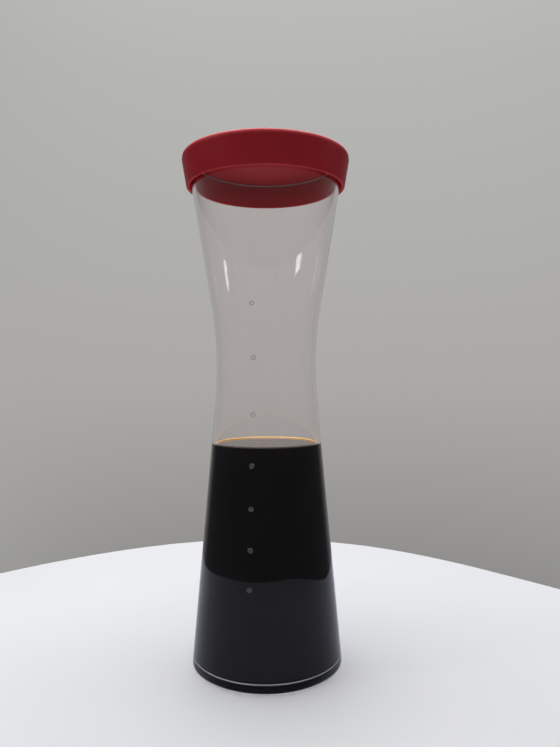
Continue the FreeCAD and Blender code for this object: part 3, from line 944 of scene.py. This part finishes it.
def make_uprights():
    width = 5
    count = 4
    edge = 0.15
    steps = 8
    rows = []
    for step in range(steps + 1):
        turn = width / 2 / sheet_outside * (2 * step / steps - 1)
        narrow = edge if step in (0, steps) else 0
        rows.append([
            (radius * math.cos(turn), radius * math.sin(turn), height)
            for radius, height in (
                (sheet_inside + narrow, cup_top),
                (sheet_outside - narrow, cup_top),
                (sheet_outside - narrow, collar_foot),
                (sheet_inside + narrow, collar_foot),
            )
        ])
    points = [tuple(mm * part for part in point) for row in rows for point in row]
    faces = [(0, 1, 2, 3), tuple(4 * steps + corner for corner in (3, 2, 1, 0))]
    for step in range(steps):
        for corner in range(4):
            after = (corner + 1) % 4
            faces.append((
                4 * step + corner,
                4 * step + 4 + corner,
                4 * step + 4 + after,
                4 * step + after,
            ))
    strip = bpy.data.meshes.new("filter_uprights")
    strip.from_pydata(points, [], faces)
    return sharpen(run_tree(
        new_piece("filter_uprights", strip),
        upright_tree(),
        Strips=count,
        First_Turn=math.pi / count,
        Finish=steel,
    ))


uprights = make_uprights()
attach(uprights, "filter")
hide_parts(*["filter_upright_%d" % number for number in range(1, 5)])


# The collar: turned stainless steel with a socket for the mesh, a flange for the
# folded bail and a hole on each side for the bail's ends.
hinge_height = 103.5


def pin_bore():
    """A bar across the collar, as thick as the holes for the bail's ends."""
    steps = 32
    radius = 1.06
    half = 26
    points = []
    for end in (-half, half):
        for step in range(steps):
            turn = 2 * math.pi * step / steps
            aside = radius * math.cos(turn)
            height = hinge_height + radius * math.sin(turn)
            points.append((end * mm, aside * mm, height * mm))
    faces = [tuple(reversed(range(steps))), tuple(range(steps, 2 * steps))]
    for step in range(steps):
        after = (step + 1) % steps
        faces.append((step, after, steps + after, steps + step))
    bar = bpy.data.meshes.new("pin_bore")
    bar.from_pydata(points, [], faces)
    return new_piece("pin_bore", bar)


def make_collar():
    bore = 18.2
    flange = 23.4
    flange_foot = 100.8
    flange_top = 102.3
    ledge = 98.3
    top = 108.3
    seam = (sheet_inside, 95)
    collar = turned("filter_collar_ring", [
        seam,
        (sheet_inside, collar_foot, 0.2, 2),
        (sheet_outside, collar_foot, 0.2, 2),
        (sheet_outside, flange_foot, 0.2, 2),
        (flange, flange_foot, 0.4, 4),
        (flange, flange_top, 0.4, 4),
        (sheet_outside, flange_top, 0.2, 2),
        (sheet_outside, top, 0.35, 4),
        (bore, top, 0.35, 4),
        (bore, ledge, 0.2, 2),
        (sheet_inside, ledge, 0.1, 2),
        seam,
    ], steel, steps=128)
    holes = pin_bore()
    cut = collar.modifiers.new("holes", "BOOLEAN")
    cut.operation = "DIFFERENCE"
    cut.solver = "EXACT"
    cut.object = holes
    graph = bpy.context.evaluated_depsgraph_get()
    pierced = bpy.data.meshes.new_from_object(collar.evaluated_get(graph), depsgraph=graph)
    collar.modifiers.clear()
    collar.data = pierced
    bpy.data.objects.remove(holes)
    return sharpen(collar)


collar = make_collar()
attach(collar, "filter")
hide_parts("filter_collar")


# The cap: a disc with a knob and a hollow plug, spun from one piece of steel. It
# is pulled out by its knob, so that the filter can be filled from above.
def make_cap():
    plug = 15.8
    plug_foot = 101.4
    bead = 17.5
    bead_top = 102.6
    neck = 16.6
    seat = 108.4
    disc = 20.5
    disc_top = 110.8
    stem = 3.6
    knob = 5.5
    knob_foot = 113.8
    top = 118.3
    return turned("filter_cap_knob", [
        (0, 110.0),
        (plug, 110.0, 0.6, 4),
        (plug, plug_foot, 0.2, 2),
        (bead, plug_foot, 0.35, 3),
        (bead, bead_top, 0.35, 3),
        (neck, bead_top, 0.2, 2),
        (neck, seat, 0.2, 2),
        (disc, seat, 0.4, 3),
        (disc, disc_top, 1.0, 6),
        (stem, disc_top, 0.9, 5),
        (stem, knob_foot, 0.6, 4),
        (knob, knob_foot, 0.6, 4),
        (knob, top, 1.4, 6),
        (0, top),
    ], steel, steps=128)


cap = make_cap()
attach(cap, "filter_cap")
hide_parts("filter_cap")


# The seal: a band of the boot's silicone round the plug, with two lips that rub
# on the collar's bore.
def make_seal():
    foot = 105.1
    top = 108.1
    inside = 16.7
    band = 17.5
    lip = 18.1
    seam = (inside, 106.6)
    return turned("cap_seal_band", [
        seam,
        (inside, foot, 0.15, 2),
        (band, foot, 0.15, 2),
        (lip, 105.7, 0.12, 3),
        (band, 106.3, 0.12, 2),
        (band, 106.9, 0.12, 2),
        (lip, 107.5, 0.12, 3),
        (band, top, 0.15, 2),
        (inside, top, 0.15, 2),
        seam,
    ], soft_grey, steps=128)


seal = make_seal()
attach(seal, "filter_cap")
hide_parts("cap_seal")


# The bail: one length of polished steel wire, bent to a bow, whose turned-in ends
# are sprung into the collar's holes. It lies folded on the flange.
def wire_tree():
    """Nodes that draw a round wire along a line of points."""
    tree, line = new_tree(
        "wire_along_a_line",
        "Wire",
        Line="Geometry",
        Wire_Radius="Float",
        Sides="Int",
        Finish="Material",
    )
    course = line.node("GeometryNodeMeshToCurve", None, {"Mesh": line})
    ring = line.node("GeometryNodeCurvePrimitiveCircle", None, {
        "Resolution": line.also("Sides"),
        "Radius": line.also("Wire Radius"),
    })
    share = line.node("GeometryNodeInputNamedAttribute", {"data_type": "FLOAT"}, {"Name": "share"})
    sized = line.node("GeometryNodeSetCurveRadius", None, {"Curve": course, "Radius": share})
    drawn = line.node("GeometryNodeCurveToMesh", None, {
        "Curve": sized,
        "Profile Curve": ring,
        "Scale": share,
        "Fill Caps": True,
    })
    smooth = line.node("GeometryNodeSetShadeSmooth", None, {"Geometry": drawn})
    finish_tree(line, "Wire", smooth)
    return tree


def polished_wire():
    made, start = material("polished_wire")
    place = start.node("ShaderNodeTexCoord", out="Object")
    draw = start.node("ShaderNodeTexNoise", None, {"Vector": place, "Scale": 900, "Detail": 3})
    bump = start.node("ShaderNodeBump", None, {
        "Strength": 0.1,
        "Distance": 0.03 * mm,
        "Height": draw,
    })
    finish_material(start, start.node("ShaderNodeBsdfPrincipled", None, {
        "Base Color": draw.mixed(tone(212, 212, 211), tone(226, 226, 224)),
        "Metallic": 0.8,
        "Roughness": draw * 0.08 + 0.14,
        "Normal": bump,
    }))
    return made


def make_bail():
    bow = 22.7
    bend = 2.2
    end = 19.1
    wire = 1.0
    bend_steps = 8
    bow_steps = 32
    # Each point: across, along, and its share of the wire's thickness, which is less
    # towards the rounded ends.
    half = [
        (end, 0.0, 0.55),
        (end + 0.08, 0.0, 0.82),
        (end + 0.3, 0.0, 1.0),
        (bow - bend, 0.0, 1.0),
    ]
    for step in range(1, bend_steps + 1):
        turn = math.pi / 2 * (1 - step / bend_steps)
        half.append((bow - bend + bend * math.cos(turn), bend * math.sin(turn) - bend, 1.0))
    for step in range(1, bow_steps + 1):
        turn = math.pi / 2 * step / bow_steps
        half.append((bow * math.cos(turn), -bend - bow * math.sin(turn), 1.0))
    course = half + [(-across, along, share) for across, along, share in reversed(half[:-1])]
    line = bpy.data.meshes.new("lift_bail_wire")
    line.from_pydata(
        [(across * mm, along * mm, hinge_height * mm) for across, along, _ in course],
        [(step, step + 1) for step in range(len(course) - 1)],
        [],
    )
    shares = line.attributes.new("share", "FLOAT", "POINT")
    for step, (_, _, share) in enumerate(course):
        shares.data[step].value = share
    return sharpen(run_tree(
        new_piece("lift_bail_wire", line),
        wire_tree(),
        Wire_Radius=wire * mm,
        Sides=24,
        Finish=polished_wire(),
    ), crease=60)


bail = make_bail()
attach(bail, "lift_bail")
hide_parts("lift_bail")
